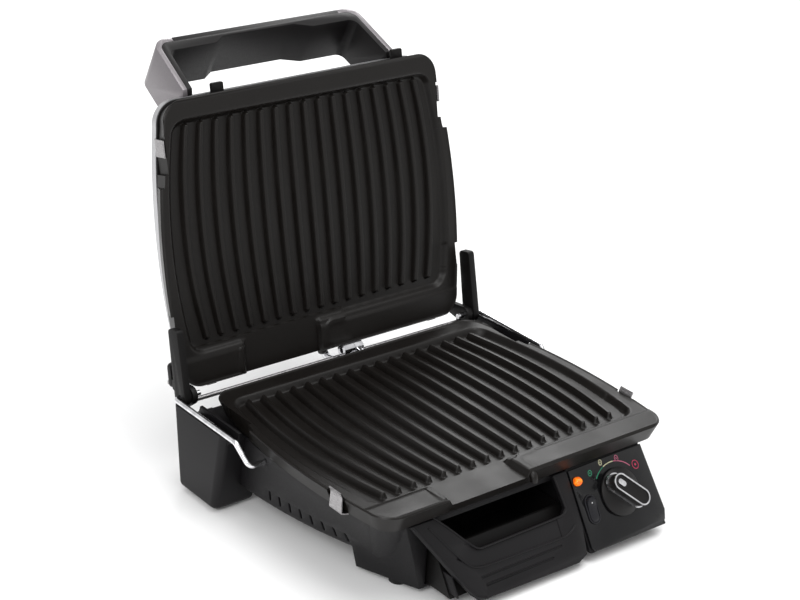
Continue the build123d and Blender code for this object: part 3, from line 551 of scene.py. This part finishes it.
def rib_height(x, y):
    """Height of the nearest rib above the floor: a round-crested bar with round ends."""
    index = round(x / rib_swell(y) / RIB_PITCH)
    index = min(max(index, -(RIB_COUNT // 2)), RIB_COUNT // 2)
    beside = x - index * RIB_PITCH * rib_swell(y)
    distance = hypot(beside, max(abs(y) - RIB_REACH, 0.0))
    height = RIB_HEIGHT * (1 - ease(RIB_CREST, RIB_FOOT, distance))
    if distance < RIB_FOOT - 0.2:
        height -= RIB_CROWN * min(distance / RIB_CREST, 1.0) ** 2
    return height


def recess_depth(x, y):
    """Signed distance out of the sunk cooking field, negative inside it."""
    half = bowed(RECESS_HALF, y, RECESS_FRONT + RECESS_CORNER, RECESS_REAR - RECESS_CORNER)
    across = abs(x) - (half - RECESS_CORNER)
    along = abs(y - (RECESS_FRONT + RECESS_REAR) / 2) - ((RECESS_REAR - RECESS_FRONT) / 2 - RECESS_CORNER)
    outside = hypot(max(across, 0.0), max(along, 0.0))
    return outside + min(max(across, along), 0.0) - RECESS_CORNER


def curb_distance(x, y):
    """Distance to the S-shaped end of the raised border, right of the spout."""
    if y < CURB_BEND[1]:
        return hypot(x - CURB_TIP[0], max(CURB_TIP[1] - y, 0.0))
    if x < CURB_BEND[0]:
        return abs(hypot(x - CURB_BEND[0], y - CURB_BEND[1]) - CURB_RADIUS)
    return abs(y - CURB_BEND[1] - CURB_RADIUS)


def front_flats(x, y, rim):
    """Rise of the flats right and left of the spout, fading out at the rim."""
    right = RIGHT_RISE * ease(-12.0, -4.0, x) * (1 - ease(-115.6, -112.0, y))
    left = LEFT_RISE * (1 - ease(-98.0, -93.0, x)) * (1 - ease(-115.0, -109.0, y))
    return (right + left) * ease(0.2, 2.2, rim)


def spout_share(x, y):
    """1 in the middle of the spout's ramp, 0 outside it."""
    left = ease(SPOUT[0] - 1.0, SPOUT[0] + 4.5, x)
    right = 1 - ease(SPOUT[1] - 4.5, SPOUT[1] + 1.0, x)
    return left * right * (1 - ease(SPOUT_REAR - 4.0, SPOUT_REAR, y))


def plate_height(x, y):
    """Height of the plate's upper face."""
    rim = min(plate_edge(y) - abs(x), y - PLATE_FRONT, PLATE_REAR - y)
    z = LAND_Z + LIP_RISE * (ease(0.0, 1.0, rim) - ease(1.0, 3.2, rim))
    out = recess_depth(x, y)
    z += (FLOOR_Z - LAND_Z) * (1 - ease(*RECESS_SLOPE, out))
    if out < 0:
        z += max(rib_height(x, y), 0.0)
    if y < SPOUT_REAR:
        z += front_flats(x, y, rim)
        ramp = min(FLOOR_Z - RAMP_FALL * (RAMP_START - y), FLOOR_Z)
        z += (ramp - z) * spout_share(x, y)
        if x < CURB_END_X:
            z = max(z, LAND_Z + CURB_RISE - 6.0 * ease(2.2, 5.2, curb_distance(x, y)))
        nose = hypot(x - NOSE_X, max(abs(y - NOSE_Y) - NOSE_LONG, 0.0))
        z = max(z, LAND_Z + CURB_RISE - 8.0 * ease(2.0, 5.4, nose))
    return z


def plate_rows():
    """Stations along the plate, closer together at its corners, spout, steps and rib ends."""
    turns = [PLATE_CORNER * (1 - cos(radians(6.0 * i))) for i in range(16)]
    rows = [PLATE_FRONT + t for t in turns] + [PLATE_REAR - t for t in turns]
    rows += [-117.0 + 1.1 * i for i in range(24)]
    rows += [-90.0 + 5.0 * i for i in range(37)]
    rows += [90.5 + 1.1 * i for i in range(12)]
    for step in (CLIP_Y - CLIP_NOTCH, CLIP_Y + CLIP_NOTCH, BAY_Y, *REAR_NOTCH):
        rows += [step - 0.02, step + 0.02]
    rows = sorted(rows)
    return [y for i, y in enumerate(rows) if i == 0 or y - rows[i - 1] > 0.015]


def plate_columns():
    """Stations across the plate, following the ribs' flanks."""
    ribs = range(-(RIB_COUNT // 2), RIB_COUNT // 2 + 1)
    columns = [RIB_PITCH * index + side * d for index in ribs for d in RIB_STATIONS for side in (-1, 1)]
    columns += [RIB_PITCH * (index + 0.5) for index in ribs]
    columns += [side * (137.0 + 1.15 * i) for i in range(21) for side in (-1, 1)]
    columns = sorted({round(c, 3) for c in columns if abs(c) < DRAWN_HALF + 0.5})
    return [c / max(columns) * DRAWN_HALF if abs(c) > 150 else c for c in columns]


def plate_x(column, y):
    """Place across the plate of a column at y: along the ribs inside, along the rim outside."""
    edge = min(plate_edge(y), plate_cut(y))
    side = 1 if column > 0 else -1
    swell = rib_swell(y)
    if abs(column) <= FIELD_HALF:
        along_ribs = column * swell
    else:
        share = (abs(column) - FIELD_HALF) / (DRAWN_HALF - FIELD_HALF)
        along_ribs = side * (FIELD_HALF * swell + share * (edge - FIELD_HALF * swell))
    even = column / DRAWN_HALF * edge
    blend = ease(99.5, 112.0, abs(y))
    return along_ribs + (even - along_ribs) * blend


def plate_skirt(x, y, inset):
    """The rim's point moved inward by inset, kept inside the notches."""
    slope = (plate_edge(min(y + 0.05, PLATE_REAR)) - plate_edge(max(y - 0.05, PLATE_FRONT))) / 0.1
    if y <= PLATE_FRONT + 0.01 or y >= PLATE_REAR - 0.01:
        share = abs(x) / max(plate_edge(y), 1.0)
        return (x * (1 - SKIRT_DRAW * inset * share), y + (inset if y < 0 else -inset))
    norm = sqrt(1 + slope * slope)
    half = min(plate_edge(y) - inset / norm, plate_cut(y) - max(inset - SKIRT_IN, 0.0))
    moved = y + inset * slope / norm
    return ((half if x > 0 else -half), moved)


def plate_mesh():
    """Vertices and faces of the whole plate, closed below."""
    rows, columns = plate_rows(), plate_columns()
    wide = len(columns)
    vertices = []
    for y in rows:
        for column in columns:
            x = plate_x(column, y)
            vertices.append((x, y, plate_height(x, y)))
    faces = []
    for r in range(len(rows) - 1):
        for c in range(wide - 1):
            a = r * wide + c
            faces.append((a, a + 1, a + 1 + wide, a + wide))
    last = (len(rows) - 1) * wide
    rim = list(range(wide))
    rim += [r * wide + wide - 1 for r in range(1, len(rows))]
    rim += [last + c for c in range(wide - 2, -1, -1)]
    rim += [r * wide for r in range(len(rows) - 2, 0, -1)]
    loop = rim
    for inset, z in SKIRT_STEPS:
        start = len(vertices)
        for index in rim:
            x, y, _ = vertices[index]
            vertices.append((*plate_skirt(x, y, inset), z))
        fresh = list(range(start, start + len(rim)))
        for i in range(len(rim)):
            j = (i + 1) % len(rim)
            faces.append((loop[j], loop[i], fresh[i], fresh[j]))
        loop = fresh
    faces.append(tuple(loop))
    return vertices, faces


def make_plates():
    """Both cooking plates from one form, in place of the plainer ones."""
    vertices, faces = plate_mesh()
    lower = [placed(v) for v in vertices]
    upper = [placed(opened(turned_over(v))) for v in vertices]
    for body, points in (("lower_plate", lower), ("upper_plate", upper)):
        piece = new_piece(body + "_ribbed", points, faces, body, "plate_nonstick")
        shade_by_angle(piece, 38.0)
        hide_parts(body)


CURB_TIP_R = 3.4
CURB_TIP_PATH = [
    (-1.6, -121.0, 89.6),
    (-2.0, -130.0, 89.3),
    (-2.2, -137.0, 88.6),
    (-2.2, -141.2, 86.0),
    (-2.2, -141.0, 82.0),
]


def make_curb_tips():
    """Round tip of each plate's S-shaped curb, just past the plate's edge beside the spout."""
    lower = [placed(p) for p in CURB_TIP_PATH]
    upper = [placed(opened(turned_over(p))) for p in CURB_TIP_PATH]
    bead("lower_plate_curb_tip", lower, CURB_TIP_R, "lower_plate", "plate_nonstick")
    bead("upper_plate_curb_tip", upper, CURB_TIP_R, "upper_plate", "plate_nonstick")


# ---------------------------------------------------------------- spring clips and catch tabs
CLIP_HALF, CLIP_THICK = 7.8, 1.2
LOWER_CLIP = [(156.6, 74.5), (164.66, 76.9), (163.76, 92.0), (165.96, 96.0)]
UPPER_CLIP = [(152.0, 111.0), (154.0, 109.5), (153.6, 97.0), (155.0, 94.2)]


def rounded_path(points, reach=1.6, steps=5):
    """The path with each inner corner turned into a short curve."""
    smooth = [Vector(points[0])]
    for before, corner, after in zip(points, points[1:], points[2:]):
        corner = Vector(corner)
        start = corner + (Vector(before) - corner).normalized() * reach
        end = corner + (Vector(after) - corner).normalized() * reach
        for i in range(steps + 1):
            t = i / steps
            smooth.append(start * (1 - t) ** 2 + corner * 2 * t * (1 - t) + end * t**2)
    return smooth + [Vector(points[-1])]


def thicken(piece, thickness):
    """Gives a sheet its thickness, half to each side."""
    solid = piece.modifiers.new("thickness", "SOLIDIFY")
    solid.thickness = thickness * MM
    solid.offset = 0.0


def spring_clip(name, path, side, into):
    """Bent spring strip along a drawn path, in place of the plainer clip."""
    outline = rounded_path(path)
    vertices, faces = [], []
    for point in outline:
        for y in (CLIP_Y - CLIP_HALF, CLIP_Y + CLIP_HALF):
            vertices.append(placed(into((side * point[0], y, point[1]))))
    for i in range(len(outline) - 1):
        a = 2 * i
        faces.append((a, a + 1, a + 3, a + 2))
    clip = new_piece(name + "_strip", vertices, faces, name, "steel")
    thicken(clip, CLIP_THICK)
    shade_by_angle(clip)
    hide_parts(name)


def make_clips():
    """The four spring clips that hold the cooking plates."""
    for side, word in ((-1, "left"), (1, "right")):
        spring_clip("lower_clip_" + word, LOWER_CLIP, side, tuple)
        spring_clip("upper_clip_" + word, UPPER_CLIP, side, opened)


CATCH_X = (-88.0, 115.0)
CATCH_HALF, CATCH_CORNER = 6.2, 1.6
CATCH_REAR, CATCH_FRONT = -114.0, -128.0
CATCH_LOW, CATCH_HIGH = 103.0, 107.0


def make_catch_tabs():
    """Two small round-cornered tabs on the front edge of the lid's inner frame."""
    inner = CATCH_HALF - CATCH_CORNER
    for number, x in enumerate(CATCH_X):
        outline = []
        for corner_x, start in ((x + inner, 360), (x - inner, 270)):
            for i in range(7):
                angle = radians(start - 15 * i)
                corner_y = CATCH_FRONT + CATCH_CORNER
                outline.append((corner_x + CATCH_CORNER * cos(angle), corner_y + CATCH_CORNER * sin(angle)))
        outline += [(x - CATCH_HALF, CATCH_REAR), (x + CATCH_HALF, CATCH_REAR)]
        count = len(outline)
        vertices = [placed(opened((px, py, z))) for z in (CATCH_LOW, CATCH_HIGH) for px, py in outline]
        faces = [tuple(range(count)), tuple(reversed(range(count, 2 * count)))]
        for i in range(count):
            j = (i + 1) % count
            faces.append((i, i + count, j + count, j))
        tab = new_piece(f"catch_tab_{number + 1}", vertices, faces, "lid", "frame_plastic", smooth=False)
        rounding = tab.modifiers.new("rounding", "BEVEL")
        rounding.width = 0.5 * MM
        rounding.segments = 2
        rounding.limit_method = "ANGLE"
        rounding.angle_limit = radians(40)
        shade_by_angle(tab)


# ---------------------------------------------------------------- control panel's printing and the rocker's painted highlight
MARK_HIGH = 0.12
MARK_LINE = 0.75
KNOB_X, KNOB_S = 95.5, 33.0
SCALE_R, SCALE_LINE = 26.6, 0.9


def ring_mark(name, x, s, wide, tall, lean, slot):
    """Printed ring with a dot in it."""
    turn = radians(lean)
    steps = 28

    def spot(radius_x, radius_y, angle):
        u, v = radius_x * cos(angle), radius_y * sin(angle)
        return on_panel(x + u * cos(turn) - v * sin(turn), s + u * sin(turn) + v * cos(turn), MARK_HIGH)

    vertices, faces = [], []
    for i in range(steps):
        angle = 2 * pi * i / steps
        vertices.append(spot(wide / 2, tall / 2, angle))
        vertices.append(spot(wide / 2 - MARK_LINE, tall / 2 - MARK_LINE, angle))
        vertices.append(spot(wide / 7, tall / 7, angle))
    for i in range(steps):
        a, b = 3 * i, 3 * ((i + 1) % steps)
        faces.append((a, a + 1, b + 1, b))
    faces.append(tuple(3 * (steps - 1 - i) + 2 for i in range(steps)))
    new_piece(name, vertices, faces, "base", slot, smooth=False)


def scale_arc(name, first, last, slot):
    """Stretch of the printed arc over the knob, between two directions in degrees."""
    steps = 14
    vertices = []
    for i in range(steps + 1):
        angle = radians(first + (last - first) * i / steps)
        for r in (SCALE_R, SCALE_R + SCALE_LINE):
            vertices.append(on_panel(KNOB_X + r * cos(angle), KNOB_S - r * sin(angle), MARK_HIGH))
    faces = [(2 * i, 2 * i + 1, 2 * i + 3, 2 * i + 2) for i in range(steps)]
    new_piece(name, vertices, faces, "base", slot, smooth=False)


def print_panel():
    """Coloured heat marks round the knob, generic rings from green to crimson."""
    ring_mark("mark_low", 69.5, 9.0, 4.6, 5.6, 20, "print_green")
    ring_mark("mark_mild", 84.0, 3.4, 4.2, 5.4, 10, "print_cream")
    ring_mark("mark_medium", 103.0, 4.6, 4.6, 5.8, -10, "print_pink")
    ring_mark("mark_high", 122.0, 15.6, 7.4, 8.6, -25, "print_crimson")
    scale_arc("scale_low", 140.0, 112.0, "print_green")
    scale_arc("scale_mild", 111.0, 84.0, "print_cream")
    scale_arc("scale_medium", 83.0, 42.0, "print_pink")


DOT_X, DOT_S, DOT_RISE, DOT_R = 60.5, 33.2, 1.6, 1.05


def rocker_painted_highlight():
    """Raised dot near the upper end of the rocker, coloured white: a painted highlight where light catches
    the rocker's end.
    """
    rings, steps = 5, 20
    vertices, faces = [], []
    for r in range(rings):
        climb = radians(17 * r)
        reach, high = DOT_R * cos(climb), DOT_RISE + DOT_R * sin(climb)
        for i in range(steps):
            angle = 2 * pi * i / steps
            vertices.append(on_panel(DOT_X + reach * cos(angle), DOT_S - reach * sin(angle), high))
    for r in range(rings - 1):
        for i in range(steps):
            a, b = r * steps + i, r * steps + (i + 1) % steps
            faces.append((a, b, b + steps, a + steps))
    faces.append(tuple(range((rings - 1) * steps, rings * steps)))
    faces.append(tuple(reversed(range(steps))))
    # The white finish is a painted highlight on the rocker's upper end
    new_piece("rocker_painted_highlight", vertices, faces, "rocker", "print_white")


# ---------------------------------------------------------------- drip tray's fascia
MOUTH = [(-103, -2), (-92, 9), (-75, 29), (-68, 35.6), (-58, 35.6), (-20, 35.2), (14, 34.9), (27, 34.6)]
MOUTH += [(32.6, 32), (32.4, 26), (31.0, 10), (30.0, 1)]
CREASE = [(-110, 5), (-98, 24), (-86, 41), (-78, 48.5), (-68, 50.4), (-50, 50.8), (-10, 51.6), (18, 52.2)]
CREASE += [(30, 51.4), (37, 46)]
LEFT_EDGE = [(-125, 0), (-114, 21), (-104, 39), (-95, 56), (-87, 69), (-82.5, 74), (-74, 76)]
RIM_R, EDGE_RIM_R = 0.9, 1.0
CHEEK_REAR, CHEEK_THICK = -129.5, 1.6


def fascia_rim(name, path, high, radius):
    """Raised rim along a path on the fascia, at a height over the panel's plane."""
    bead(name, [on_panel(x, s, high) for x, s in path], radius, "drip_tray", "housing_plastic")


def dress_fascia():
    """Raised rims along the fascia's mouth and crease, and the cheek at its left foot."""
    fascia_rim("fascia_mouth_rim", MOUTH, 0.0, RIM_R)
    fascia_rim("fascia_crease_rim", CREASE, -0.1, RIM_R)
    fascia_rim("fascia_left_rim", [(x + 0.9, s - 0.4) for x, s in LEFT_EDGE], -0.3, EDGE_RIM_R)
    vertices, faces = [], []
    for x, s in LEFT_EDGE[1:]:
        front = on_panel(x + 0.6, s, -1.5)
        back = Vector((front.x + 0.004, (CHEEK_REAR - ORIGIN_Y) * MM, front.z))
        vertices += [front, back]
    for i in range(len(LEFT_EDGE) - 2):
        a = 2 * i
        faces.append((a, a + 2, a + 3, a + 1))
    cheek = new_piece("fascia_cheek", vertices, faces, "drip_tray", "housing_plastic")
    thicken(cheek, CHEEK_THICK)


# ---------------------------------------------------------------- the scene
make_camera()
make_floor()
make_light()
FINISHES = make_finishes()
dress_nodes(FINISHES)
make_plates()
make_curb_tips()
make_clips()
make_catch_tabs()
print_panel()
rocker_painted_highlight()
dress_fascia()
